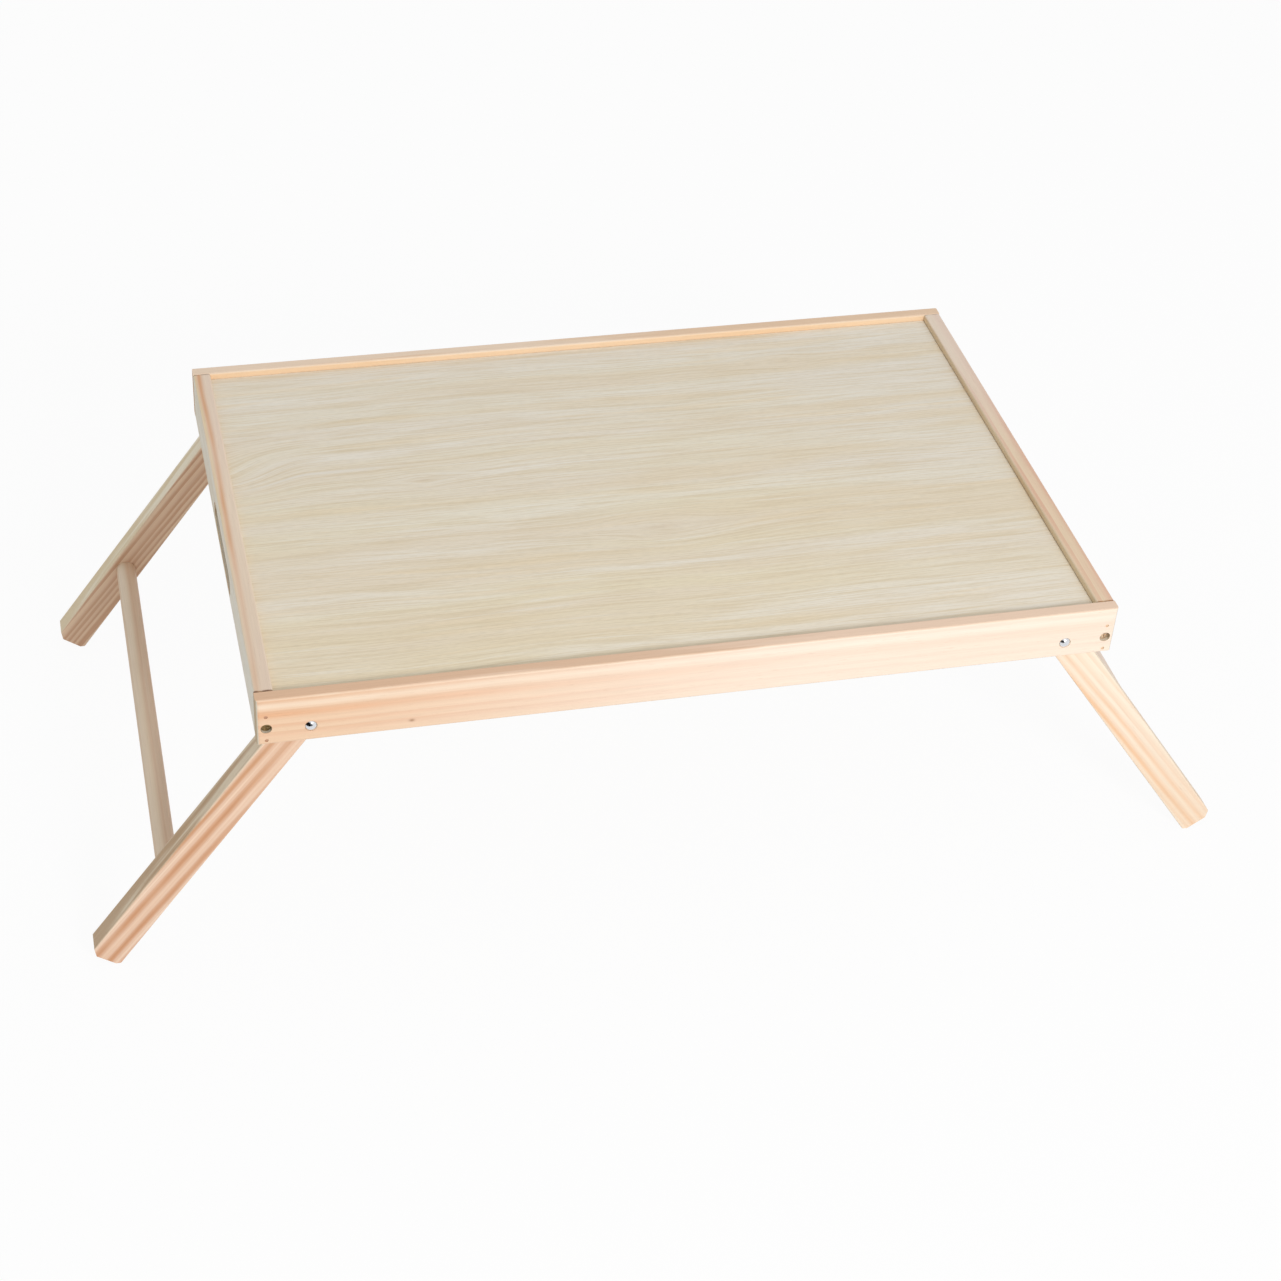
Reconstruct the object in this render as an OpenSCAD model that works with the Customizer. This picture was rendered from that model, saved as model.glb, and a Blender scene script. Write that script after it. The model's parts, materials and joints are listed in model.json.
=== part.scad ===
// Folding laptop table: a pine tray on two leg frames that splay outwards.
// Origin on the floor under the tray's centre. X runs left to right, Y from
// front to back and Z up. The table stands with both leg frames open.

/* [Tray] */
// Length of the tray, over both end rails
tray_l = 600; // [590:5:900]
// Depth of the tray, over the front and back rails
tray_w = 400; // [300:5:600]
// Height of all four rails
rail_h = 38; // [36:0.5:60]
// Thickness of the front and back rails
long_rail_t = 10; // [8:0.5:16]
// Thickness of the left and right end rails
end_rail_t = 13; // [10:0.5:17]
// Radius on the long edges of the rails
rail_edge_r = 1.5; // [0.5:0.1:2]
// Radius on the tray's four upright corners
corner_r = 2.5; // [1:0.1:5]

/* [Top panel] */
// Thickness of the top panel
panel_t = 4; // [3:0.5:5]
// Depth of the step round the panel's face, which leaves a thinner edge
panel_step = 1; // [0.5:0.1:1.5]
// Depth of the panel's face below the tops of the rails
panel_drop = 5; // [2:0.5:7]
// Depth of the groove in the rails that holds the panel's edge
groove_d = 5; // [3:0.5:7]
// Clearance between the panel and the rails
panel_play = 0.3; // [0.1:0.1:0.6]

/* [Hand slots] */
// Length of the hand slot in each end rail
slot_l = 100; // [60:1:130]
// Height of the hand slot
slot_h = 19; // [14:0.5:22]

/* [Legs] */
// Length of a leg, from its pivot to its foot end
leg_l = 253; // [170:1:256]
// Width of a leg, in the plane in which it folds
leg_w = 24; // [18:0.5:26]
// Thickness of a leg, along the pivot
leg_t = 16; // [13:0.5:22]
// Radius on the long edges of the legs
leg_edge_r = 1; // [0.5:0.1:2]
// Distance from the tray's end to the pivot
pivot_in = 36; // [32:0.5:42]
// How far a folded leg lies above the rails' bottom edges
leg_tuck = 0; // [0:0.5:2]
// Gap between an open leg and the end rail's edge that stops it
stop_gap = 0.3; // [0.1:0.1:1]
// Size of the corner that is cut off the outer side of a foot
foot_clip = 5; // [2:0.5:8]
// Length of the level flat on which a foot stands
foot_flat = 4; // [2:0.5:8]

/* [Spreaders] */
// Diameter of the round rod between a pair of legs
spreader_d = 15; // [10:0.5:17]
// Distance from the pivot down to the rod
spreader_at = 170; // [80:1:200]
// Depth of the rod's socket in each leg
socket_d = 10; // [6:0.5:12]
// Glue gap round the rod and behind its end
glue_gap = 0.1; // [0.05:0.05:0.3]

/* [Pivot rivets] */
// Diameter of the rivet's shank
rivet_d = 5; // [4:0.1:6]
// Diameter of the domed head
rivet_head_d = 8; // [7.5:0.1:10]
// Height of the domed head
rivet_head_h = 2; // [1.5:0.1:3]
// Depth of the seat that is sunk in the rail for the head
rivet_seat = 0.4; // [0.3:0.1:1.5]
// Clearance between the head and the wall of its seat
seat_play = 0.2; // [0.1:0.1:1]
// Diameter of the rolled end on the inner side
rivet_roll_d = 8; // [7.5:0.1:10]
// Height of the rolled end
rivet_roll_h = 1.6; // [1:0.1:2.5]
// Clearance round the shank in the rail and in the leg
pivot_play = 0.08; // [0.03:0.01:0.1]
// Outer diameter of the washers on a rivet
washer_d = 13; // [11:0.5:16]
// Thickness of the washer between rail and leg
spacer_t = 3; // [1:0.1:5]
// Thickness of the washer under the rolled end
end_washer_t = 1; // [0.6:0.1:2]
// Gap on each face of a leg, so that it turns
leg_play = 0.1; // [0.05:0.05:0.3]

/* [Corner fasteners] */
// Height of the corner screw above the rail's bottom edge
screw_up = 13.5; // [12:0.5:16]
// Diameter of the corner screw
screw_d = 3.5; // [3:0.1:4.5]
// Length of the corner screw
screw_l = 40; // [30:1:50]
// Diameter of the screw's head
screw_head_d = 7.5; // [5.5:0.1:8.5]
// Depth at which the screw's head is sunk in the rail
screw_sink = 2.5; // [1:0.1:4]
// Length of the cross recess in the screw's head
cross_l = 4.4; // [2.5:0.1:5.5]
// Width of the arms of the cross recess
cross_w = 0.9; // [0.6:0.1:1.2]
// Depth of the cross recess
cross_depth = 0.6; // [0.4:0.1:0.9]
// Distance of the two brads above and below the screw
brad_step = 10; // [7:0.5:10.5]
// Diameter of a brad
brad_d = 1.6; // [1.2:0.1:2]
// Diameter of a brad's head
brad_head_d = 2.4; // [2.2:0.1:3]
// Length of a brad
brad_l = 30; // [20:1:40]
// Depth at which a brad's head is sunk in the rail
brad_sink = 0.3; // [0.2:0.1:1.5]
// Clearance round the screws and brads
fastener_play = 0.05; // [0.02:0.01:0.1]

/* [Hidden] */
$fn = 64;
// Cutting tools run this far past the faces that they open
past = 1;

// Sides of the table, as signs along X and Y
left = -1;
right = 1;
front = -1;
back = 1;

// The open leg leans on the rounded lower inner edge of the end rail. Seen
// from the pivot, that edge's centre lies stop_x outwards and stop_z down.
pivot_up = leg_w / 2 + leg_tuck;
stop_x = pivot_in - end_rail_t + rail_edge_r;
stop_z = pivot_up - rail_edge_r;
stop_reach = leg_w / 2 + stop_gap + rail_edge_r;
splay = acos(stop_reach / norm([stop_x, stop_z])) - atan2(stop_z, stop_x);

// The square foot end is planed level where it meets the floor
flat_on_end = foot_flat * cos(splay);
flat_on_side = foot_flat * sin(splay);
foot_drop = leg_l * cos(splay) + leg_w / 2 * sin(splay) - flat_on_end * sin(splay);

// Heights above the floor
pivot_z = foot_drop;
rail_z = pivot_z - pivot_up;
top_z = rail_z + rail_h;
panel_z = top_z - panel_drop - panel_t;
panel_edge_t = panel_t - panel_step;
slot_z = (rail_z + panel_z) / 2;
screw_z = rail_z + screw_up;

// Places along X, counted from the centre
pivot_x = tray_l / 2 - pivot_in;
corner_x = (tray_l - end_rail_t) / 2;
well_l = tray_l - 2 * end_rail_t;

// Places along Y at the front, counted inwards from the front face
well_w = tray_w - 2 * long_rail_t;
spacer_y = long_rail_t;
leg_y = spacer_y + spacer_t + leg_play;
end_washer_y = leg_y + leg_t + leg_play;
roll_y = end_washer_y + end_washer_t;
socket_y = leg_y + leg_t - socket_d;
spreader_l = tray_w - 2 * socket_y - 2 * glue_gap;

pine = [0.93, 0.78, 0.62];
pine_pale = [0.96, 0.86, 0.72];
pine_warm = [0.90, 0.72, 0.55];
laminate = [0.87, 0.83, 0.71];
nickel = [0.82, 0.83, 0.85];
zinc = [0.62, 0.52, 0.33];

// Rectangle with rounded corners, centred on the origin
module eased_section(a, b, r) {
    square([a - 2 * r, b], center = true);
    square([a, b - 2 * r], center = true);
    for (x = [-1, 1], y = [-1, 1])
        translate([x * (a / 2 - r), y * (b / 2 - r)])
            circle(r);
}

// Puts what is drawn for the front left corner at another corner
module at_corner(side, face) {
    mirror([side == left ? 0 : 1, 0, 0])
        mirror([0, face == front ? 0 : 1, 0])
            children();
}

// Turns what is drawn along Z to point inwards from the front face of the
// front left corner, from depth y, at height z
module inwards(x, y, z) {
    translate([-x, -tray_w / 2 + y, z])
        rotate([-90, 0, 0])
            children();
}

// A rod with its start at the origin, longer at each end by the given amount
module bore(d, l, before = past, after = 0) {
    translate([0, 0, -before])
        cylinder(d = d, h = l + before + after);
}

// The space that the tray takes up, with its upright corners rounded
module tray_block() {
    translate([0, 0, rail_z - past])
        linear_extrude(rail_h + 2 * past)
            eased_section(tray_l, tray_w, corner_r);
}

module panel_groove() {
    height = panel_edge_t + panel_play;
    translate([0, 0, panel_z + height / 2])
        cube([well_l + 2 * groove_d, well_w + 2 * groove_d, height], center = true);
}

// Hole and sunk seat for the pivot rivet, in the front left corner
module rivet_hole() {
    seat = rivet_head_d + 2 * seat_play;
    inwards(pivot_x, 0, pivot_z) {
        bore(rivet_d + 2 * pivot_play, long_rail_t, after = past);
        bore(seat, rivet_seat);
    }
}

// Holes for the screw and the two brads, in the front left corner
module fastener_holes() {
    inwards(corner_x, 0, screw_z) {
        bore(screw_d + 2 * fastener_play, screw_sink + screw_l);
        bore(screw_head_d + 2 * fastener_play, screw_sink);
        translate([0, 0, screw_sink])
            screw_head(fastener_play);
    }
    for (step = [-brad_step, brad_step])
        inwards(corner_x, 0, screw_z + step) {
            bore(brad_d + 2 * fastener_play, brad_sink + brad_l);
            bore(brad_head_d + 2 * fastener_play, brad_sink + brad_head_h());
        }
}

function brad_head_h() = brad_d / 2;
function screw_head_h() = (screw_head_d - screw_d) / 2;

// Countersunk head, widest at the origin, larger all round by the given play
module screw_head(play = 0) {
    cylinder(d1 = screw_head_d + 2 * play, d2 = screw_d + 2 * play, h = screw_head_h());
}

module long_rail(face) {
    color(pine)
        difference() {
            intersection() {
                translate([0, face * (tray_w - long_rail_t) / 2, rail_z + rail_h / 2])
                    rotate([90, 0, 90])
                        linear_extrude(tray_l + 2 * past, center = true)
                            eased_section(long_rail_t, rail_h, rail_edge_r);
                tray_block();
            }
            panel_groove();
            for (side = [left, right])
                at_corner(side, face) {
                    rivet_hole();
                    fastener_holes();
                }
        }
}

module hand_slot(side) {
    translate([side * corner_x, 0, slot_z]) {
        cube([end_rail_t + 2 * past, slot_l - slot_h, slot_h], center = true);
        for (y = [-1, 1])
            translate([0, y * (slot_l - slot_h) / 2, 0])
                rotate([0, 90, 0])
                    cylinder(d = slot_h, h = end_rail_t + 2 * past, center = true);
    }
}

module end_rail(side) {
    color(pine)
        difference() {
            translate([side * corner_x, 0, rail_z + rail_h / 2])
                rotate([90, 0, 0])
                    linear_extrude(well_w, center = true)
                        eased_section(end_rail_t, rail_h, rail_edge_r);
            panel_groove();
            hand_slot(side);
            for (face = [front, back])
                at_corner(side, face)
                    fastener_holes();
        }
}

// A slab as large as the well inside the rails and margin more on each side,
// with its underside at the panel's
module panel_slab(margin, t) {
    translate([0, 0, panel_z + t / 2])
        cube([well_l + 2 * margin, well_w + 2 * margin, t], center = true);
}

// The face fits between the rails. The thinner edge runs on into the groove
// and lies on its lower side.
module top_panel() {
    color(laminate)
        union() {
            panel_slab(-panel_play, panel_t);
            panel_slab(groove_d - panel_play, panel_edge_t);
        }
}

module corner_screw(side, face) {
    cross_arm = [cross_l, cross_w, 2 * cross_depth];
    color(zinc)
        at_corner(side, face)
            inwards(corner_x, screw_sink, screw_z)
                difference() {
                    union() {
                        screw_head();
                        cylinder(d = screw_d, h = screw_l - screw_d);
                        translate([0, 0, screw_l - screw_d])
                            cylinder(d1 = screw_d, d2 = screw_d / 4, h = screw_d);
                    }
                    for (turn = [0, 90])
                        rotate(turn)
                            cube(cross_arm, center = true);
                }
}

module corner_brads(side, face) {
    color(zinc)
        at_corner(side, face)
            for (step = [-brad_step, brad_step])
                inwards(corner_x, brad_sink, screw_z + step) {
                    cylinder(d = brad_head_d, h = brad_head_h());
                    cylinder(d = brad_d, h = brad_l);
                }
}

// Side view of the front left leg as it hangs straight down from its pivot.
// The outer side lies towards -X. The shank is drawn past its two sides.
module leg_outline() {
    wide = leg_w / 2 + past;
    outer = -leg_w / 2;
    inner = leg_w / 2;
    circle(d = leg_w);
    polygon([
        [-wide, 0],
        [-wide, -leg_l + foot_clip + wide + outer],
        [outer + foot_clip, -leg_l],
        [inner - flat_on_end, -leg_l],
        [wide, -leg_l + flat_on_side + (wide - inner) * tan(splay)],
        [wide, 0]
    ]);
}

module leg_blank() {
    intersection() {
        rotate([90, 0, 0])
            linear_extrude(leg_t + 2 * past, center = true)
                leg_outline();
        translate([0, 0, -leg_l - past])
            linear_extrude(leg_l + leg_w)
                eased_section(leg_w, leg_t, leg_edge_r);
    }
}

module leg(side, face) {
    color(pine_warm)
        at_corner(side, face)
            translate([-pivot_x, -tray_w / 2 + leg_y + leg_t / 2, pivot_z])
                rotate([0, splay, 0])
                    difference() {
                        leg_blank();
                        rotate([90, 0, 0])
                            cylinder(d = rivet_d + 2 * pivot_play, h = leg_t + 2 * past, center = true);
                        translate([0, leg_t / 2 - socket_d, -spreader_at])
                            rotate([-90, 0, 0])
                                cylinder(d = spreader_d + 2 * glue_gap, h = socket_d + past);
                    }
}

module spreader(side) {
    color(pine_pale)
        translate([
            side * (pivot_x + spreader_at * sin(splay)),
            0,
            pivot_z - spreader_at * cos(splay)
        ])
            rotate([90, 0, 0])
                cylinder(d = spreader_d, h = spreader_l, center = true);
}

// Cap of a sphere that stands on the origin, d wide and h high, top up
module dome(d, h) {
    r = (d * d / 4 + h * h) / (2 * h);
    intersection() {
        translate([0, 0, h - r])
            sphere(r);
        cylinder(d = d, h = h);
    }
}

// Domed head, shank, and an end that is rolled over its washer
module pivot_rivet(side, face) {
    shank = roll_y - rivet_seat;
    lip = rivet_roll_h / 2;
    color(nickel)
        at_corner(side, face)
            inwards(pivot_x, rivet_seat, pivot_z) {
                rotate([180, 0, 0])
                    dome(rivet_head_d, rivet_head_h);
                difference() {
                    union() {
                        cylinder(d = rivet_d, h = shank + lip);
                        translate([0, 0, shank + lip])
                            rotate_extrude()
                                translate([rivet_roll_d / 2 - lip, 0])
                                    circle(lip);
                        translate([0, 0, shank])
                            cylinder(d = rivet_roll_d - 2 * lip, h = rivet_roll_h);
                    }
                    translate([0, 0, shank])
                        cylinder(d1 = rivet_d / 2, d2 = rivet_roll_d - 2 * lip, h = rivet_roll_h);
                }
            }
}

module washer(t) {
    difference() {
        cylinder(d = washer_d, h = t);
        bore(rivet_d + 2 * pivot_play, t, after = past);
    }
}

module spacer_washer(side, face) {
    color(nickel)
        at_corner(side, face)
            inwards(pivot_x, spacer_y, pivot_z)
                washer(spacer_t);
}

module end_washer(side, face) {
    color(nickel)
        at_corner(side, face)
            inwards(pivot_x, end_washer_y, pivot_z)
                washer(end_washer_t);
}

long_rail(front);  // front_rail
long_rail(back);  // back_rail
end_rail(left);  // left_end_rail
end_rail(right);  // right_end_rail
top_panel();
corner_screw(left, front);  // corner_screw_front_left
corner_screw(right, front);  // corner_screw_front_right
corner_screw(left, back);  // corner_screw_back_left
corner_screw(right, back);  // corner_screw_back_right
corner_brads(left, front);  // corner_brads_front_left
corner_brads(right, front);  // corner_brads_front_right
corner_brads(left, back);  // corner_brads_back_left
corner_brads(right, back);  // corner_brads_back_right
leg(left, front);  // leg_front_left
leg(right, front);  // leg_front_right
leg(left, back);  // leg_back_left
leg(right, back);  // leg_back_right
spreader(left);  // left_spreader
spreader(right);  // right_spreader
pivot_rivet(left, front);  // pivot_rivet_front_left
pivot_rivet(right, front);  // pivot_rivet_front_right
pivot_rivet(left, back);  // pivot_rivet_back_left
pivot_rivet(right, back);  // pivot_rivet_back_right
spacer_washer(left, front);  // spacer_washer_front_left
spacer_washer(right, front);  // spacer_washer_front_right
spacer_washer(left, back);  // spacer_washer_back_left
spacer_washer(right, back);  // spacer_washer_back_right
end_washer(left, front);  // end_washer_front_left
end_washer(right, front);  // end_washer_front_right
end_washer(left, back);  // end_washer_back_left
end_washer(right, back);  // end_washer_back_right
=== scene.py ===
import json
import math

import bmesh
import bpy
from mathutils import Matrix, Vector


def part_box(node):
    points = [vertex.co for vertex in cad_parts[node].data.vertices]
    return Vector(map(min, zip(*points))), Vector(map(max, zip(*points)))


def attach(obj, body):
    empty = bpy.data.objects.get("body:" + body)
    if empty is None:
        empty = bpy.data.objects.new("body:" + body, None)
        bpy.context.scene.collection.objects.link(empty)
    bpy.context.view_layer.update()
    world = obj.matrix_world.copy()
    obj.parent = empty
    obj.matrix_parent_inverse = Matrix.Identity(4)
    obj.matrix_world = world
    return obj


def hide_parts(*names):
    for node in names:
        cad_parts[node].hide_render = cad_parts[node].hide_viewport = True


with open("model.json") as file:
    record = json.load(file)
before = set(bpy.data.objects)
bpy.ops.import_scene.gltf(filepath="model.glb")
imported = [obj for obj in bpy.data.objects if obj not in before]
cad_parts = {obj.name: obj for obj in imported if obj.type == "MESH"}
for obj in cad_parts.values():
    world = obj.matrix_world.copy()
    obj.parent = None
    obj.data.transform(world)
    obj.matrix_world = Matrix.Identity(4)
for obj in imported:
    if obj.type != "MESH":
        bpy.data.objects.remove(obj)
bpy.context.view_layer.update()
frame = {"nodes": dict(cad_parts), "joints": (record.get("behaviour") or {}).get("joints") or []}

# Folding laptop table in pine. Every solid of the frame gets its finish here,
# and the rivets and washers are turned again as smooth pieces. Sizes and
# places are in metres.

CORNERS = [(face, side) for face in ("front", "back") for side in ("left", "right")]

# The camera, worked out from the tray's edges, with its lens and its sensor
# in millimetres
CAMERA_PLACE = Vector((-0.4164, -1.4875, 1.3284))
CAMERA_RIGHT = Vector((0.974755, -0.218693, 0.045003))
CAMERA_FORWARD = Vector((0.198049, 0.753811, -0.626534))
CAMERA_LENS = 72.721
CAMERA_SENSOR = 36
CAMERA_SHIFT = 0.0394
CAMERA_REACH = 100

# Light from all round, and one soft lamp at the front
AMBIENT = 0.6
LAMP_PLACE = Vector((0.5, -2.3, 1.36))
LAMP_AIM = Vector((0, 0, 0.2))
LAMP_SIZE = 0.6
LAMP_POWER = 33.0

# A dark card that stands at the front left, where only shine can see it
CARD_PLACE = Vector((-0.47, -0.7, 0.36))
CARD_WIDTH = 1.6
CARD_HEIGHT = 0.7
CARD_GREY = 0.01

# Half the floor's width, its tone and roughness, and how much of it is seen as
# plain white, and so how faint its shadow is
FLOOR_HALF = 12
FLOOR_GREY = 0.82
FLOOR_ROUGH = 0.9
FLOOR_GLOW = 0.94

# The strip along the edges of a bar that is worn pale and painted with a highlight
EDGE = 0.0016

# The grain runs along a bar's own X. This is how far the bar is turned from
# the row's X, as angles about X, Y and Z.
ALONG_X = (0.0, 0.0, 0.0)
ALONG_Y = (0.0, 0.0, math.pi / 2)

# The patterns of the pine: waves per metre along the grain and across it
RING_BEND = (5, 9)
RING_WAVER = (28, 110)
RING_CLEAR = (5, 45)
BLUSH_PATCH = (5, 60)
STREAK_STRONG = (8, 25)
FACE_STRIPE = (7, 150)
FIBRE = (30, 1300)
RESIN_CANAL = (110, 1500)
WEAR_AND_HIGHLIGHT_PLACE = (40, 90)
JOINT_SHADE = (0, 260)

# How far the fine waver moves a ring, and the waves per metre in the width of
# the years
WAVER_REACH = 0.001
YEAR_WAVES = 90

# The patterns of the board: waves per metre along its lines, across them and
# through its thickness
LINE_BOW = (3, 6, 0)
LINE_RIPPLE = (22, 50, 0)
BOARD_ZONES = (2.2, 30, 0)
BOARD_BANDS = (-1.8, 38, 0)
BOARD_STREAKS = (4, 80, 0)
BOARD_LINES = (7, 230, 0)
BOARD_HAIRS = (18, 820, 0)
BOARD_PORES = (160, 1300, 0)

# How far the board's lines bow and ripple, and the share of their distance by
# which a knot pushes them aside
BOW_REACH = 0.022
RIPPLE_REACH = 0.0022
KNOT_PUSH = 0.85

# How much longer a small knot of the pine is than it is high
KNOT_DRAWN = 1.6

# The patterns of the metal: waves per metre along X, Y and Z
METAL_HAZE = (420, 420, 420)
METAL_MARKS = (2600, 500, 2600)

# How deep the relief of each surface is
PINE_RELIEF = 0.00025
BOARD_RELIEF = 0.0002
METAL_RELIEF = 0.00005


def tone(red, green, blue):
    """A colour as a screen shows it, from 0 to 255, made linear for a shader."""
    def linear(value):
        value /= 255
        return value / 12.92 if value <= 0.04045 else ((value + 0.055) / 1.055) ** 2.4
    return (linear(red), linear(green), linear(blue), 1)


class Nodes:
    """Short calls for the nodes of one material or of the world."""

    def __init__(self, tree):
        self.tree = tree

    def fill(self, socket, value):
        """Links a socket to another one, or gives it a value of its own."""
        if isinstance(value, bpy.types.NodeSocket):
            self.tree.links.new(value, socket)
        else:
            socket.default_value = value

    def node(self, kind, inputs=None, **settings):
        """A new node, with its settings and what goes into its sockets."""
        made = self.tree.nodes.new(kind)
        for key, value in settings.items():
            setattr(made, key, value)
        for key, value in (inputs or {}).items():
            self.fill(made.inputs[key], value)
        return made

    def math(self, operation, *values, clamp=False):
        made = self.node("ShaderNodeMath", operation=operation, use_clamp=clamp)
        for place, value in enumerate(values):
            self.fill(made.inputs[place], value)
        return made.outputs[0]

    def plus(self, first, second, clamp=False):
        return self.math("ADD", first, second, clamp=clamp)

    def minus(self, first, second):
        return self.math("SUBTRACT", first, second)

    def times(self, first, second, clamp=False):
        return self.math("MULTIPLY", first, second, clamp=clamp)

    def split(self, vector):
        """The X, Y and Z of a vector."""
        return self.node("ShaderNodeSeparateXYZ", {"Vector": vector}).outputs

    def stretched(self, vector, along, across, deep=None):
        """The vector times a scale along, across and, if given, deep."""
        scale = (along, across, across if deep is None else deep)
        made = self.node("ShaderNodeVectorMath", {0: vector, 1: scale}, operation="MULTIPLY")
        return made.outputs[0]

    def noise(self, vector, detail=2.0, rough=0.5):
        """Noise of the given vector, which already carries its scale."""
        made = self.node("ShaderNodeTexNoise", {
            "Vector": vector, "Scale": 1.0, "Detail": detail, "Roughness": rough,
        })
        return made.outputs["Fac"]

    def noise_on(self, value, scale):
        """Noise along one number."""
        made = self.node("ShaderNodeTexNoise", {
            "W": value, "Scale": scale, "Detail": 1.0,
        }, noise_dimensions="1D")
        return made.outputs["Fac"]

    def spread(self, value, low, high, new_low=0.0, new_high=1.0):
        """The value between low and high, spread smoothly over a new range."""
        made = self.node("ShaderNodeMapRange", {
            "Value": value, "From Min": low, "From Max": high,
            "To Min": new_low, "To Max": new_high,
        }, interpolation_type="SMOOTHSTEP")
        return made.outputs["Result"]

    def hump(self, value, middle, width):
        """1 where the value is at the middle, and falling off smoothly to both sides."""
        off = self.math("DIVIDE", self.minus(value, middle), width)
        return self.math("EXPONENT", self.times(self.times(off, off), -1.0))

    def ramp(self, value, stops):
        """The value as a colour, between the two stops given."""
        made = self.node("ShaderNodeValToRGB", {"Fac": value})
        points = made.color_ramp.elements
        for point, (place, colour) in zip(points, stops):
            point.position = place
            point.color = colour
        return made.outputs["Color"]

    def mix(self, share, first, second, mode="MIX"):
        """The first colour, with this share of the second laid over it."""
        made = self.node("ShaderNodeMix", {
            0: share, 6: first, 7: second,
        }, data_type="RGBA", blend_type=mode)
        return made.outputs[2]


class Finish(Nodes):
    """One material, whose pattern the calls build up."""

    def __init__(self, name):
        self.material = bpy.data.materials.new(name)
        self.material.use_nodes = True
        super().__init__(self.material.node_tree)
        self.shader = self.tree.nodes["Principled BSDF"]

    def set(self, **values):
        """Fills sockets of the shader, with _ in their names for a space."""
        for key, value in values.items():
            self.fill(self.shader.inputs[key.replace("_", " ")], value)

    def bump(self, height, strength, distance):
        made = self.node("ShaderNodeBump", {
            "Height": height, "Strength": strength, "Distance": distance,
        })
        self.set(Normal=made.outputs["Normal"])


def grey(value):
    return (value, value, value, 1)


def centre_of(node):
    low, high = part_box(node)
    return (low + high) / 2


def half_of(node):
    low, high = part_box(node)
    return (high - low) / 2


def along_leg(side):
    """The turn of a leg, read from the line between its pivot and its rod."""
    joint = next(j for j in frame["joints"] if j["name"] == side + "_leg_fold")
    down = centre_of(side + "_spreader") - Vector(joint["pos_m"])
    return (0.0, math.atan2(-down.z, down.x), 0.0)


def growth(f, grain, heart, ring, pale, wander):
    """The rings of the tree, as cylinders round its heart that bend as it grew.

    Gives the radius of the ring at each point, and how dark the wood is, from
    0 in spring wood to 1 in summer wood.
    """
    across, up = f.split(grain)[1:]
    across = f.minus(across, heart[0])
    up = f.minus(up, heart[1])
    radius = f.math("SQRT", f.plus(f.times(across, across), f.times(up, up)))
    bend = f.minus(f.noise(f.stretched(grain, *RING_BEND), detail=1.0), 0.5)
    waver = f.minus(f.noise(f.stretched(grain, *RING_WAVER)), 0.5)
    radius = f.plus(radius, f.times(bend, 2 * wander))
    radius = f.plus(radius, f.times(waver, WAVER_REACH))
    uneven = f.minus(f.noise_on(radius, YEAR_WAVES), 0.5)
    season = f.math("FRACT", f.plus(f.math("DIVIDE", radius, ring), uneven))
    darkening = f.spread(season, pale - 0.2, pale + 0.3)
    ending = f.spread(season, 0.9, 1.0, 1.0, 0.0)
    return radius, f.times(darkening, ending)


def streaked(f, colour, grain, offset, streaks):
    """Stripes of their own tone along the rings, stronger in some places.

    The offset is counted from the ring that runs through the bar's centre.
    """
    strong = f.spread(f.noise(f.stretched(grain, *STREAK_STRONG)), 0.35, 0.6, 0.55, 1.0)
    for middle, width, tint, share in streaks:
        near = f.times(f.hump(offset, middle, width), f.times(strong, share))
        colour = f.mix(near, colour, tint)
    return colour


def side_tones_and_painted_light(f, colour, grain, along, facing, faces):
    """Sides with tones of their own, some of them painted light or painted shade, with more stripes
    towards the bar's end.
    """
    stripe = f.noise(f.stretched(grain, *FACE_STRIPE))
    stripe = f.spread(f.math("MULTIPLY_ADD", along, 0.8, stripe), 0.4, 0.62)
    for direction, first, second, share in faces:
        turned = f.node("ShaderNodeVectorMath", {0: facing, 1: direction}, operation="DOT_PRODUCT")
        near = f.spread(turned.outputs["Value"], 0.35, 0.85, 0.0, share)
        colour = f.mix(near, colour, f.mix(stripe, first, second))
    return colour


def knotted(f, colour, along, up, marks):
    """Small knots, drawn out along the bar."""
    for middle, height, size in marks:
        near = f.times(f.hump(along, middle, KNOT_DRAWN * size), f.hump(up, height, size))
        colour = f.mix(f.times(near, 0.7), colour, PINE_KNOT)
    return colour


def rubbed(f, colour, grain, reach, half):
    """Rounded edges rubbed pale and painted with a highlight, and painted shade in bores and slots."""
    # Edges worn pale, partly a painted highlight
    edges = f.times(
        f.spread(reach[1], half[1] - EDGE, half[1] - 0.2 * EDGE),
        f.spread(reach[2], half[2] - EDGE, half[2] - 0.2 * EDGE))
    wear_and_highlight = f.spread(f.noise(f.stretched(grain, *WEAR_AND_HIGHLIGHT_PLACE), detail=3.0), 0.4, 0.62, 0.1, 0.4)
    colour = f.mix(f.times(edges, wear_and_highlight), colour, PINE_WEAR_AND_HIGHLIGHT)
    # Painted shade inside bores and slots
    inside = [
        f.spread(part, limit - 0.5 * EDGE, limit - 0.1 * EDGE, 1.0, 0.0)
        for part, limit in zip(reach, half)
    ]
    hollow = f.times(f.times(inside[0], inside[1]), inside[2])
    return f.mix(f.times(hollow, 0.8), colour, PINE_PAINTED_HOLLOW_SHADE)


def jointed(f, colour, bar, reach, half, dark):
    """Thin dark lines where the bar's two ends butt against other bars."""
    joint = f.spread(reach[0], half[0] - 0.7 * EDGE, half[0] - 0.2 * EDGE, 0.0, dark)
    shade = f.spread(f.noise(f.stretched(bar, *JOINT_SHADE)), 0.4, 0.6, 0.3, 1.0)
    return f.mix(f.times(joint, shade), colour, PINE_JOINT)


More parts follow.
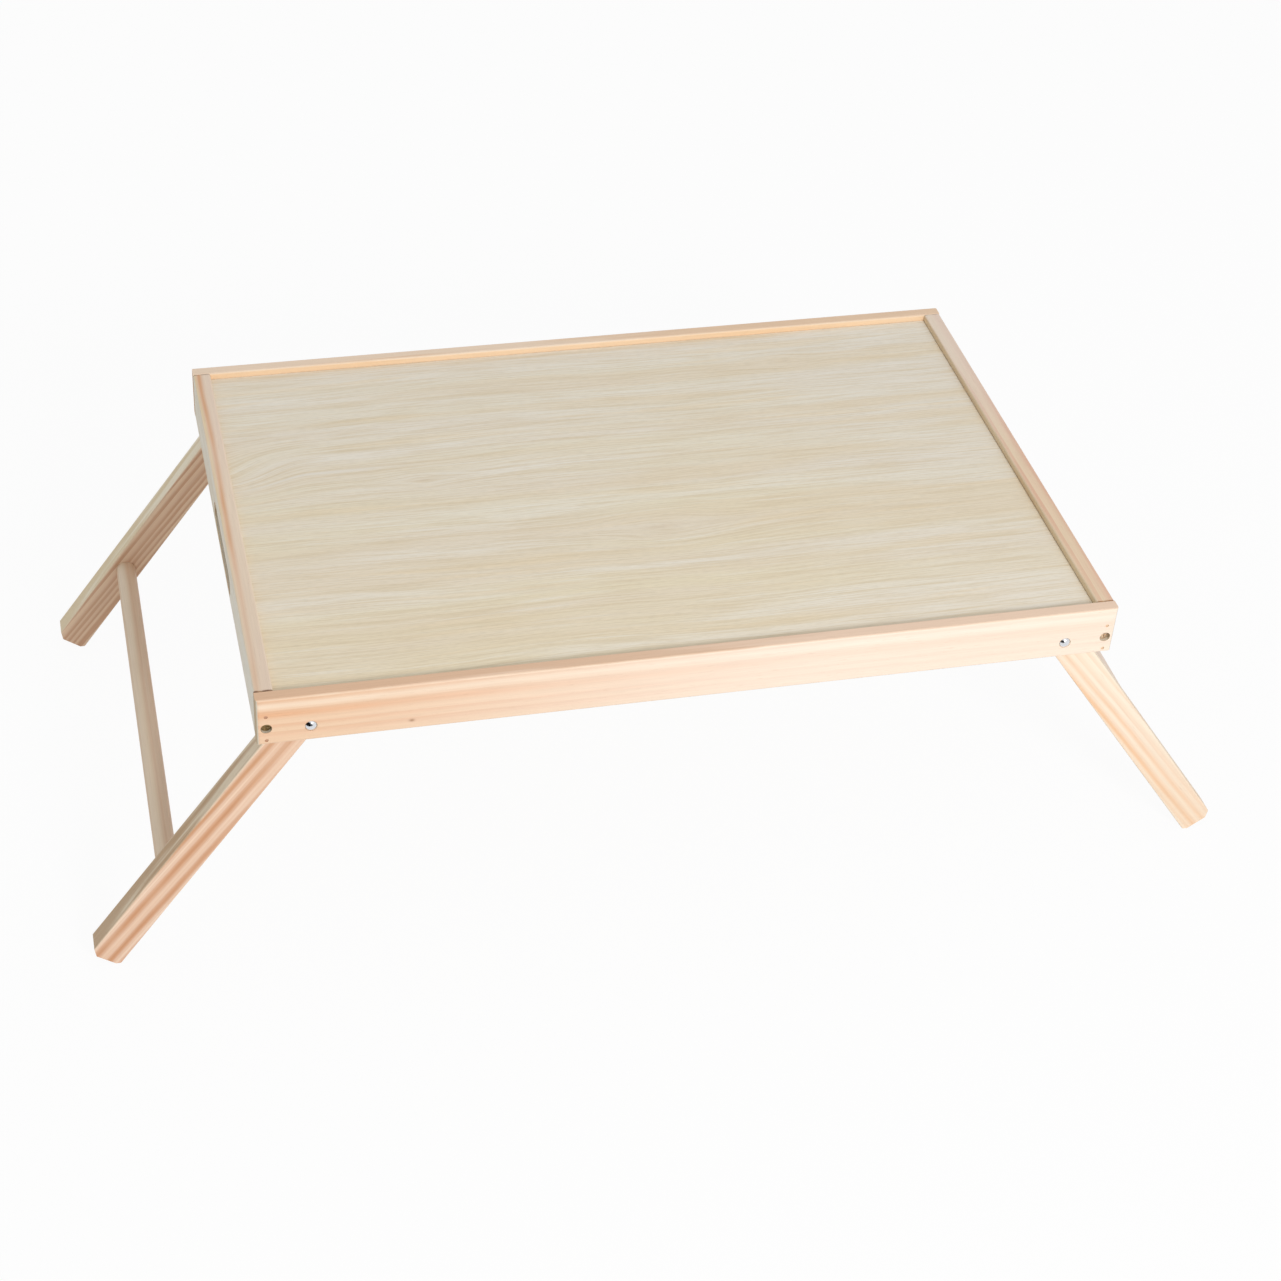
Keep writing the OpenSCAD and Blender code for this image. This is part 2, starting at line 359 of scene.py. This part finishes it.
def pine(
    name, node, turn, heart, ring, early, late, blush, pale=0.5, contrast=1.0, wander=0.002,
    slant=(0.0, 0.0, 0.0), streaks=(), fade=None, faces=(), marks=(), half=None, butted=0.0,
):
    """Planed pine for one bar.

    heart is where the middle of the tree lies, across and above the bar's
    centre. ring is the width of a year's growth and pale the share of it
    that is spring wood. early and late are the tones of the spring and the
    summer wood, and blush is what tints both here and there. contrast is how
    much the rings show, and wander how far they bend. slant turns the grain
    against the bar. A streak is a stripe of its own tone: where it lies,
    counted away from the heart, its width, its tone and its strength. fade
    gives the bar another tone towards one end: between which places it comes
    in, the tone and its share. faces are the sides that have tones of their
    own, some of them painted light or painted shade: which way each faces,
    one tone, the tone of its stripes, and their share. marks are small
    knots: where each lies, along and above the bar's centre, and its size.
    half is half the bar's length, width and height, for the wear and the
    painted highlight along its edges and the painted shade in its hollows.
    butted is how dark the joint lines at its two ends are.
    """
    f = Finish(name)
    place = f.node("ShaderNodeTexCoord")
    bar = f.node("ShaderNodeMapping", {
        "Vector": place.outputs["Object"], "Location": centre_of(node), "Rotation": turn,
    }, vector_type="TEXTURE").outputs[0]
    along, across, up = f.split(bar)
    facing = f.node("ShaderNodeVectorRotate", {
        "Vector": place.outputs["Normal"], "Rotation": turn,
    }, rotation_type="EULER_XYZ", invert=True).outputs[0]
    grain = f.node("ShaderNodeMapping", {"Vector": bar, "Rotation": slant}).outputs[0]

    # The rings show more in some places than in others
    radius, summer = growth(f, grain, heart, ring, pale, wander)
    clear = f.noise(f.stretched(grain, *RING_CLEAR), detail=1.0)
    clear = f.spread(clear, 0.3, 0.7, 0.6 * contrast, contrast)
    depth = f.times(summer, clear, clamp=True)
    colour = f.mix(depth, early, late)
    patch = f.spread(f.noise(f.stretched(grain, *BLUSH_PATCH)), 0.42, 0.68, 0.0, 0.5)
    colour = f.mix(patch, colour, blush)
    if streaks:
        offset = f.minus(radius, math.hypot(*heart))
        colour = streaked(f, colour, grain, offset, streaks)
    if fade:
        begin, end, tint, share = fade
        colour = f.mix(f.spread(along, begin, end, 0.0, share), colour, tint)
    if faces:
        colour = side_tones_and_painted_light(f, colour, grain, along, facing, faces)
    colour = knotted(f, colour, along, up, marks)

    # Fibres, and the short thin marks of resin canals
    fibre = f.noise(f.stretched(grain, *FIBRE), detail=3.0, rough=0.6)
    shade = f.ramp(fibre, [(0.3, grey(0.93)), (0.7, grey(1.0))])
    colour = f.mix(1.0, colour, shade, "MULTIPLY")
    canal = f.noise(f.stretched(grain, *RESIN_CANAL), detail=1.0)
    colour = f.mix(f.spread(canal, 0.67, 0.76, 0.0, 0.16), colour, PINE_RESIN)

    if half:
        reach = [f.math("ABSOLUTE", part) for part in (along, across, up)]
        colour = rubbed(f, colour, grain, reach, half)
        if butted:
            colour = jointed(f, colour, bar, reach, half, butted)

    # Cut ends drink more of the light than planed sides
    ends = f.math("ABSOLUTE", f.split(facing)["X"])
    cut = f.spread(ends, 0.6, 0.95)
    colour = f.mix(cut, colour, f.mix(1.0, colour, PINE_END, "MULTIPLY"))
    rough = f.minus(f.spread(fibre, 0.25, 0.75, 0.62, 0.48), f.times(depth, 0.06))
    rough = f.plus(rough, f.times(cut, 0.2), clamp=True)
    f.set(Base_Color=colour, Roughness=rough)
    f.bump(f.plus(f.times(fibre, 0.6), f.times(depth, 0.5)), 0.22, PINE_RELIEF)
    return f.material


def board_lines(f, board, along, across):
    """Where each line of the board runs, and how near a point is to a knot's eye."""
    bow = f.minus(f.noise(f.stretched(board, *LINE_BOW), detail=1.0), 0.5)
    ripple = f.minus(f.noise(f.stretched(board, *LINE_RIPPLE)), 0.5)
    lines_at = f.plus(across, f.times(bow, BOW_REACH))
    lines_at = f.plus(lines_at, f.times(ripple, RIPPLE_REACH))
    eyes = 0.0
    for (x, y), length, width, dark in BOARD_KNOTS:
        near = f.times(f.hump(along, x, length), f.hump(across, y, width))
        away = f.times(f.minus(across, y), near)
        lines_at = f.minus(lines_at, f.times(away, KNOT_PUSH))
        eye = f.times(f.hump(along, x, EYE_LONG * length), f.hump(across, y, EYE_WIDE * width))
        eyes = f.math("MAXIMUM", eyes, f.times(eye, dark))
    rise = f.spread(along, *SWIRL_SPAN, SWIRL_CLIMB, 0.0)
    lines_at = f.plus(lines_at, f.times(rise, f.hump(across, SWIRL_TOP, SWIRL_WIDE)))
    return lines_at, eyes


def laminate(name, node):
    """Pale wood-grain board: long fine lines that bow round a few small knots,
    and that climb in a swirl near the left end."""
    f = Finish(name)
    place = f.node("ShaderNodeTexCoord")
    board = f.node("ShaderNodeMapping", {
        "Vector": place.outputs["Object"], "Location": centre_of(node),
    }, vector_type="TEXTURE").outputs[0]
    along, across = f.split(board)[:2]
    lines_at, eyes = board_lines(f, board, along, across)
    lines = f.node("ShaderNodeCombineXYZ", {"X": along, "Y": lines_at}).outputs[0]

    zone = f.noise(f.stretched(lines, *BOARD_ZONES))
    band = f.noise(f.stretched(lines, *BOARD_BANDS), detail=1.0)
    streak = f.noise(f.stretched(lines, *BOARD_STREAKS))
    line = f.noise(f.stretched(lines, *BOARD_LINES), rough=0.6)
    hair = f.noise(f.stretched(lines, *BOARD_HAIRS), rough=0.6)
    pore = f.noise(f.stretched(board, *BOARD_PORES), detail=1.0)

    # The board is milkier towards its back and right, partly its own tone and partly painted light,
    # and warmer at its front
    colour = f.mix(f.spread(zone, 0.36, 0.64), BOARD_ROSE, BOARD_STRAW)
    colour = f.mix(f.spread(across, *MILKY_BACK_AND_PAINTED_LIGHT, 0.0, 0.6), colour, BOARD_MILK)
    colour = f.mix(f.spread(along, *MILKY_RIGHT_AND_PAINTED_LIGHT, 0.0, 0.6), colour, BOARD_MILK)
    colour = f.mix(f.spread(across, *WARM_FRONT, 0.3, 0.0), colour, BOARD_WARM)

    # Broad bands, pale or tan, with more tan towards the right
    colour = f.mix(f.spread(band, 0.52, 0.64, 0.0, 0.4), colour, BOARD_PALE)
    tan = f.times(f.spread(band, 0.38, 0.48, 1.0, 0.0), f.spread(along, *TAN_RIGHT, 0.2, 0.48))
    colour = f.mix(tan, colour, BOARD_TAN)

    # Streaks, lines and hairlines, each finer than the last
    colour = f.mix(f.spread(streak, 0.25, 0.42, 0.45, 0.0), colour, BOARD_PALE)
    colour = f.mix(f.spread(streak, 0.55, 0.7, 0.0, 0.5), colour, BOARD_WARM)
    colour = f.mix(f.spread(line, 0.5, 0.68, 0.0, 0.44), colour, BOARD_LINE)
    colour = f.mix(f.spread(line, 0.3, 0.44, 0.4, 0.0), colour, BOARD_PALE)
    colour = f.mix(f.spread(hair, 0.46, 0.62, 0.0, 0.42), colour, BOARD_LINE)

    # The swirl's pale line, the eyes of the knots, and the pores
    swirl = f.times(
        f.hump(lines_at, SWIRL_TOP, SWIRL_THIN),
        f.hump(along, SWIRL_SPAN[1], SWIRL_LONG))
    colour = f.mix(f.times(swirl, 0.9), colour, BOARD_MILK)
    colour = f.mix(f.times(eyes, f.spread(hair, 0.3, 0.7, 0.35, 0.85)), colour, BOARD_KNOT)
    shade = f.ramp(pore, [(0.3, grey(0.93)), (0.6, grey(1.0))])
    colour = f.mix(1.0, colour, shade, "MULTIPLY")
    f.set(Base_Color=colour, Roughness=f.spread(line, 0.3, 0.7, 0.5, 0.42))
    f.bump(f.plus(f.times(line, 0.6), f.times(hair, 0.6)), 0.12, BOARD_RELIEF)
    return f.material


def metal(name, bright, dull, haze_share=0.6, rough=0.34, rough_spread=0.15):
    """Plated steel, hazed by handling from its bright tone to its dull one.

    haze_share is how strong the haze gets. The roughness lies between rough
    and rough plus its spread.
    """
    f = Finish(name)
    place = f.node("ShaderNodeTexCoord").outputs["Object"]
    haze = f.noise(f.stretched(place, *METAL_HAZE), detail=4.0, rough=0.6)
    marks = f.noise(f.stretched(place, *METAL_MARKS), detail=3.0, rough=0.6)
    colour = f.mix(f.spread(haze, 0.42, 0.7, 0.0, haze_share), bright, dull)
    polish = f.spread(marks, 0.3, 0.7, rough, rough + rough_spread)
    f.set(Base_Color=colour, Roughness=polish, Metallic=1.0)
    f.bump(marks, 0.08, METAL_RELIEF)
    return f.material


def dress(node, material):
    """Puts a finish on a solid of the frame."""
    slots = frame["nodes"][node].data.materials
    slots.clear()
    slots.append(material)


# Tones that all the bars share
PINE_KNOT = tone(150, 104, 70)
PINE_RESIN = tone(186, 140, 100)
# Pale worn edges, partly a painted highlight
PINE_WEAR_AND_HIGHLIGHT = tone(246, 226, 200)
# Painted shade inside bores and slots
PINE_PAINTED_HOLLOW_SHADE = tone(206, 204, 190)
PINE_JOINT = tone(120, 84, 60)
PINE_END = tone(222, 206, 184)

# The board's tones
BOARD_ROSE = tone(240, 228, 207)
BOARD_STRAW = tone(241, 230, 202)
BOARD_MILK = tone(240, 233, 220)
BOARD_PALE = tone(247, 242, 230)
BOARD_WARM = tone(242, 223, 189)
BOARD_TAN = tone(237, 218, 184)
BOARD_LINE = tone(223, 204, 169)
BOARD_KNOT = tone(204, 176, 134)

# The board's knots: where each is, how far the lines bow along and across it,
# and how dark its eye is. The eye is a share of the bow, long and wide.
BOARD_KNOTS = [
    ((0.0114, -0.049), 0.05, 0.02, 0.7),
    ((-0.149, 0.034), 0.024, 0.01, 0.5),
    ((0.157, 0.149), 0.024, 0.01, 0.45),
]
EYE_LONG = 0.28
EYE_WIDE = 0.12

# Between which places across or along the board a tone comes in
# The milky back and right are partly painted light
MILKY_BACK_AND_PAINTED_LIGHT = (-0.1, 0.2)
MILKY_RIGHT_AND_PAINTED_LIGHT = (0.05, 0.25)
WARM_FRONT = (-0.2, 0.0)
TAN_RIGHT = (-0.25, 0.2)

# The swirl near the board's left end: between which places its lines climb and
# how far, where it lies across the board and how wide, and how thick and long
# its pale line is
SWIRL_SPAN = (-0.298, -0.228)
SWIRL_CLIMB = 0.024
SWIRL_TOP = 0.057
SWIRL_WIDE = 0.03
SWIRL_THIN = 0.0016
SWIRL_LONG = 0.045

# How wide a leg is, seen from the front
LEG_WIDE = 0.024

# Half of each kind of bar's length, width and height. The legs have no open
# hollow, so their length counts as nothing.
LONG_HALF = tuple(half_of("front_rail"))
END_HALF = tuple(half_of("left_end_rail")[axis] for axis in (1, 0, 2))
LEG_HALF = (0.0, half_of("leg_front_left").y, LEG_WIDE / 2)

# Sides of a bar, as directions in its own X, Y and Z. An end rail's Y points
# to the left, and a leg's Z points to the right. OUT is a leg's outer side.
TOP = (0, 0, 1)
LEFT_END = (-1, 0, 0)
LEFT_SIDE = (0, 1, 0)
OUT = {"left": (0, 0, -1), "right": (0, 0, 1)}
ROD_UPPER_RIGHT = (0, -0.8, 0.6)

RAIL_WOOD = {
    "front_rail": dict(
        turn=ALONG_X, heart=(0.02, -0.17), ring=0.0095, contrast=0.75,
        early=tone(237, 202, 169), late=tone(224, 176, 138), blush=tone(232, 190, 156),
        streaks=[
            (0.0135, 0.0022, tone(250, 230, 207), 0.68),
            (0.0062, 0.003, tone(232, 174, 130), 0.72),
            (-0.003, 0.0015, tone(236, 188, 152), 0.5),
            (-0.011, 0.0014, tone(238, 194, 162), 0.4),
        ],
        # Paler towards the right end, partly the wood's own tone and partly painted light
        fade=(-0.33, 0.12, tone(252, 240, 226), 0.64),
        faces=[
            (TOP, tone(228, 187, 153), tone(244, 210, 182), 0.75),
            # The left end is paler, partly its own tone and partly painted light from the left
            (LEFT_END, tone(244, 240, 222), tone(236, 226, 204), 0.85),
        ],
        marks=[(-0.197, -0.0117, 0.0012)], half=LONG_HALF),
    "back_rail": dict(
        turn=ALONG_X, heart=(-0.03, 0.15), ring=0.011, contrast=0.6,
        early=tone(246, 214, 178), late=tone(236, 190, 146), blush=tone(242, 202, 158),
        faces=[(TOP, tone(248, 226, 204), tone(240, 208, 178), 0.75)], half=LONG_HALF),
    "left_end_rail": dict(
        turn=ALONG_Y, heart=(0.12, 0.004), ring=0.0115, contrast=0.6, wander=0.004,
        slant=(0.0, 0.0, 0.006),
        early=tone(244, 226, 204), late=tone(238, 212, 186), blush=tone(240, 216, 200),
        streaks=[
            (-0.0052, 0.0013, tone(236, 216, 172), 0.8),
            (-0.0021, 0.0021, tone(225, 172, 130), 1.0),
        ],
        fade=(0.02, -0.19, tone(228, 206, 182), 0.5),
        # The outer side is paler and greyer, partly its own tone and partly painted light from the
        # left
        faces=[(LEFT_SIDE, tone(246, 244, 230), tone(234, 228, 208), 0.8)],
        half=END_HALF, butted=0.8),
    "right_end_rail": dict(
        turn=ALONG_Y, heart=(0.11, 0.02), ring=0.012, slant=(0.0, 0.0, -0.008),
        early=tone(240, 216, 184), late=tone(229, 184, 154), blush=tone(236, 190, 166),
        streaks=[(0.003, 0.0032, tone(230, 178, 152), 0.9)],
        fade=(-0.06, 0.16, tone(244, 230, 214), 0.7),
        # The inner side is darker and more olive, partly its own tone and partly painted shade
        faces=[(LEFT_SIDE, tone(226, 206, 170), tone(216, 190, 150), 0.85)],
        half=END_HALF, butted=0.35),
}

LEG_WOOD = {
    ("front", "left"): dict(
        heart=(0.004, 0.1415), ring=0.0027, contrast=0.3, wander=0.0012,
        slant=(0.0, -0.046, 0.0),
        early=tone(248, 223, 200), late=tone(214, 164, 130), blush=tone(238, 202, 172),
        streaks=[
            (0.0116, 0.0028, tone(206, 152, 112), 1.0),
            (0.0016, 0.0034, tone(206, 150, 110), 1.0),
            (-0.009, 0.0032, tone(206, 150, 110), 1.0),
            (-0.0168, 0.002, tone(208, 152, 116), 0.8),
        ],
        fade=(0.02, -0.12, tone(216, 168, 130), 0.25),
        # The outer side's pale tone is partly its own and partly painted light from the left
        faces=[(OUT["left"], tone(238, 224, 196), tone(196, 166, 128), 0.85)]),
    ("front", "right"): dict(
        heart=(-0.004, 0.13), ring=0.0066, contrast=0.6, wander=0.005,
        slant=(0.0, 0.045, 0.0),
        early=tone(246, 230, 208), late=tone(238, 200, 166), blush=tone(244, 222, 200),
        streaks=[
            (0.0094, 0.0021, tone(238, 188, 142), 0.75),
            (0.0015, 0.0016, tone(240, 194, 152), 0.6),
        ],
        fade=(-0.02, 0.13, tone(240, 208, 176), 0.34)),
    ("back", "left"): dict(
        heart=(0.006, -0.14), ring=0.0052, pale=0.4, slant=(0.0, -0.045, 0.0),
        early=tone(238, 208, 178), late=tone(204, 156, 122), blush=tone(220, 182, 152),
        # The outer side is near white, partly its own tone and partly painted light from the left
        faces=[(OUT["left"], tone(254, 244, 219), tone(236, 217, 180), 0.95)]),
    ("back", "right"): dict(
        heart=(-0.01, -0.12), ring=0.0072,
        early=tone(248, 234, 214), late=tone(240, 210, 180), blush=tone(244, 224, 202),
        # The outer side is near white, partly its own pale tone and partly painted light
        faces=[(OUT["right"], tone(250, 246, 238), tone(244, 234, 220), 0.85)]),
}

ROD_WOOD = dict(
    turn=ALONG_Y, heart=(0.08, 0.01), ring=0.0075, contrast=0.8,
    early=tone(238, 218, 192), late=tone(220, 186, 152), blush=tone(232, 206, 176))
ROD_PALE = {"left": tone(228, 200, 178), "right": tone(250, 232, 222)}
ROD_STRIPE = tone(226, 192, 164)

for rail, wood in RAIL_WOOD.items():
    dress(rail, pine("pine_" + rail.replace("_end", ""), rail, **wood))
dress("top_panel", laminate("board_top", "top_panel"))
for (face, side), wood in LEG_WOOD.items():
    leg = f"leg_{face}_{side}"
    dress(leg, pine("pine_" + leg, leg, along_leg(side), half=LEG_HALF, **wood))
for side, pale in ROD_PALE.items():
    rod = side + "_spreader"
    dress(rod, pine("pine_" + rod, rod, faces=[(ROD_UPPER_RIGHT, pale, ROD_STRIPE, 0.6)], **ROD_WOOD))

# The metals. The screws and brads at the right are the brighter ones: the same metals as at the left,
# with painted light.
NICKEL = metal(
    "bright_nickel", tone(226, 228, 232), tone(196, 197, 198),
    haze_share=0.3, rough=0.16, rough_spread=0.08)
ZINC_AND_PAINTED_LIGHT = {
    "left": metal("dark_zinc_left", tone(164, 142, 102), tone(112, 94, 66)),
    # The right copy is brightened with painted light
    "right": metal("dark_zinc_with_painted_light_right", tone(228, 208, 184), tone(176, 152, 128)),
}
BRAD_POLISH = dict(rough=0.4, rough_spread=0.12)
BRADS_AND_PAINTED_LIGHT = {
    "left": metal("brad_left", tone(218, 172, 142), tone(180, 132, 106), **BRAD_POLISH),
    # The right copy is brightened with painted light
    "right": metal("brad_with_painted_light_right", tone(246, 216, 184), tone(222, 188, 152), **BRAD_POLISH),
}
for face, side in CORNERS:
    dress(f"corner_screw_{face}_{side}", ZINC_AND_PAINTED_LIGHT[side])
    dress(f"corner_brads_{face}_{side}", BRADS_AND_PAINTED_LIGHT[side])

# The rivet's head, the radius of its shank and its rolled end, and the radius
# of a washer's bore and of its eased edge
HEAD_HIGH = 0.002
SHANK = 0.0025
ROLL_HIGH = 0.0016
WASHER_BORE = 0.00258
WASHER_EDGE = 0.00025

# How finely the pieces are turned, how close their points may lie, and the
# angle from which an edge stays sharp
TURN_STEPS = 72
WELD = 1e-6
SHARP_ANGLE = math.radians(40)


def arc(centre, radius, start, end, steps=10):
    """Points (radius, depth) along an arc, from one angle to another in degrees."""
    points = []
    for step in range(steps + 1):
        angle = math.radians(start + (end - start) * step / steps)
        points.append((centre[0] + radius * math.cos(angle), centre[1] + radius * math.sin(angle)))
    return points


def rivet_profile(radius, length):
    """From the middle of the domed head to the hollow of the rolled end."""
    ball = (radius * radius + HEAD_HIGH * HEAD_HIGH) / (2 * HEAD_HIGH)
    edge = math.degrees(math.acos(radius / ball))
    lip = ROLL_HIGH / 2
    seat = length - ROLL_HIGH
    return [
        *arc((0, ball), ball, -90, -edge, steps=16), (SHANK, HEAD_HIGH), (SHANK, seat),
        *arc((radius - lip, seat + lip), lip, -90, 90), (SHANK / 2, seat), (0, seat),
    ]


def washer_profile(radius, length):
    """Once round the washer's section, with its outer edges eased."""
    out, far = radius - WASHER_EDGE, length - WASHER_EDGE
    return [
        (WASHER_BORE, 0), *arc((out, WASHER_EDGE), WASHER_EDGE, -90, 0, steps=4),
        *arc((out, far), WASHER_EDGE, 0, 90, steps=4), (WASHER_BORE, length), (WASHER_BORE, 0),
    ]


def as_object(name, shape, material):
    """Ends a bmesh as an object of the scene with one material."""
    mesh = bpy.data.meshes.new(name)
    shape.to_mesh(mesh)
    shape.free()
    mesh.materials.append(material)
    made = bpy.data.objects.new(name, mesh)
    bpy.context.scene.collection.objects.link(made)
    return made


def turn_piece(node, face, profile):
    """A smooth turned piece in the place of a node whose axis runs along Y."""
    low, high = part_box(node)
    half = (high - low) / 2
    middle = (low + high) / 2
    shape = bmesh.new()
    verts = [shape.verts.new((radius, 0, depth)) for radius, depth in profile(half.x, 2 * half.y)]
    edges = [shape.edges.new(pair) for pair in zip(verts, verts[1:])]
    bmesh.ops.spin(
        shape, geom=verts + edges, cent=(0, 0, 0), axis=(0, 0, 1),
        angle=2 * math.pi, steps=TURN_STEPS, use_merge=True)
    bmesh.ops.remove_doubles(shape, verts=shape.verts, dist=WELD)
    bmesh.ops.recalc_face_normals(shape, faces=shape.faces)

    # The profile starts at the outer face of the tray and runs inwards
    if face == "front":
        start, turn = low.y, Matrix.Rotation(-math.pi / 2, 4, "X")
    else:
        start, turn = high.y, Matrix.Rotation(math.pi / 2, 4, "X")
    place = Matrix.Translation((middle.x, start, middle.z))
    bmesh.ops.transform(shape, matrix=place @ turn, verts=shape.verts)
    piece = as_object("smooth_" + node, shape, NICKEL)
    piece.data.shade_smooth()
    piece.data.set_sharp_from_angle(angle=SHARP_ANGLE)
    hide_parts(node)
    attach(piece, "tray")


for face, side in CORNERS:
    turn_piece(f"pivot_rivet_{face}_{side}", face, rivet_profile)
    turn_piece(f"spacer_washer_{face}_{side}", face, washer_profile)
    turn_piece(f"end_washer_{face}_{side}", face, washer_profile)


def build_card():
    """A dark card, for a dark side on the round rivet heads."""
    f = Finish("dark_card")
    f.set(Base_Color=grey(CARD_GREY), Roughness=1.0, Specular_IOR_Level=0.0)

    shape = bmesh.new()
    bmesh.ops.create_grid(shape, x_segments=1, y_segments=1, size=0.5)
    bmesh.ops.scale(shape, vec=(CARD_WIDTH, CARD_HEIGHT, 1), verts=shape.verts)
    to_tray = Vector((-CARD_PLACE.x, -CARD_PLACE.y, 0)).to_track_quat("Z", "Y").to_matrix()
    place = Matrix.Translation(CARD_PLACE) @ to_tray.to_4x4()
    bmesh.ops.transform(shape, matrix=place, verts=shape.verts)
    card = as_object("card", shape, f.material)
    card.visible_camera = False
    card.visible_diffuse = False
    card.visible_shadow = False


def seen_directly(f):
    """1 for what the camera sees, straight or by shine or through glass."""
    ray = f.node("ShaderNodeLightPath")
    seen = f.math("MAXIMUM", ray.outputs["Is Camera Ray"], ray.outputs["Is Glossy Ray"])
    return f.math("MAXIMUM", seen, ray.outputs["Is Transmission Ray"])


def build_floor():
    """A wide pale floor that keeps the table's shadow, and is clear from below."""
    f = Finish("pale_floor")
    f.set(Base_Color=grey(FLOOR_GREY), Roughness=FLOOR_ROUGH, Specular_IOR_Level=0.0)
    glow = f.node("ShaderNodeEmission", {"Color": grey(1), "Strength": 1.0})
    share = f.times(seen_directly(f), FLOOR_GLOW)
    above = f.node("ShaderNodeMixShader", {0: share, 1: f.shader.outputs[0], 2: glow.outputs[0]})
    below = f.node("ShaderNodeNewGeometry").outputs["Backfacing"]
    clear = f.node("ShaderNodeBsdfTransparent")
    blend = f.node("ShaderNodeMixShader", {0: below, 1: above.outputs[0], 2: clear.outputs[0]})
    f.fill(f.tree.nodes["Material Output"].inputs["Surface"], blend.outputs[0])

    shape = bmesh.new()
    bmesh.ops.create_grid(shape, x_segments=1, y_segments=1, size=FLOOR_HALF)
    floor = as_object("floor", shape, f.material)


def light_scene():
    """Even white light all round, and one large soft lamp at the front."""
    world = bpy.data.worlds.new("studio")
    bpy.context.scene.world = world
    world.use_nodes = True
    f = Nodes(world.node_tree)
    level = f.node("ShaderNodeMapRange", {"Value": seen_directly(f), "To Min": AMBIENT, "To Max": 1.0})
    back = f.tree.nodes["Background"]
    f.fill(back.inputs["Color"], grey(1))
    f.fill(back.inputs["Strength"], level.outputs["Result"])

    lamp = bpy.data.lights.new("front_lamp", "AREA")
    lamp.shape = "DISK"
    lamp.size = LAMP_SIZE
    lamp.energy = LAMP_POWER
    holder = bpy.data.objects.new("front_lamp", lamp)
    holder.location = LAMP_PLACE
    holder.rotation_euler = (LAMP_AIM - holder.location).to_track_quat("-Z", "Y").to_euler()
    bpy.context.scene.collection.objects.link(holder)


def place_camera():
    """The photograph's own view."""
    lens = bpy.data.cameras.new("camera")
    lens.sensor_width = CAMERA_SENSOR
    lens.lens = CAMERA_LENS
    lens.shift_x = CAMERA_SHIFT
    lens.clip_end = CAMERA_REACH
    camera = bpy.data.objects.new("camera", lens)
    up = CAMERA_RIGHT.cross(CAMERA_FORWARD)
    turn = Matrix((CAMERA_RIGHT, up, -CAMERA_FORWARD)).transposed()
    camera.matrix_world = Matrix.Translation(CAMERA_PLACE) @ turn.to_4x4()
    bpy.context.scene.collection.objects.link(camera)
    bpy.context.scene.camera = camera


build_floor()
build_card()
light_scene()
place_camera()
bpy.context.scene.view_settings.view_transform = "Standard"
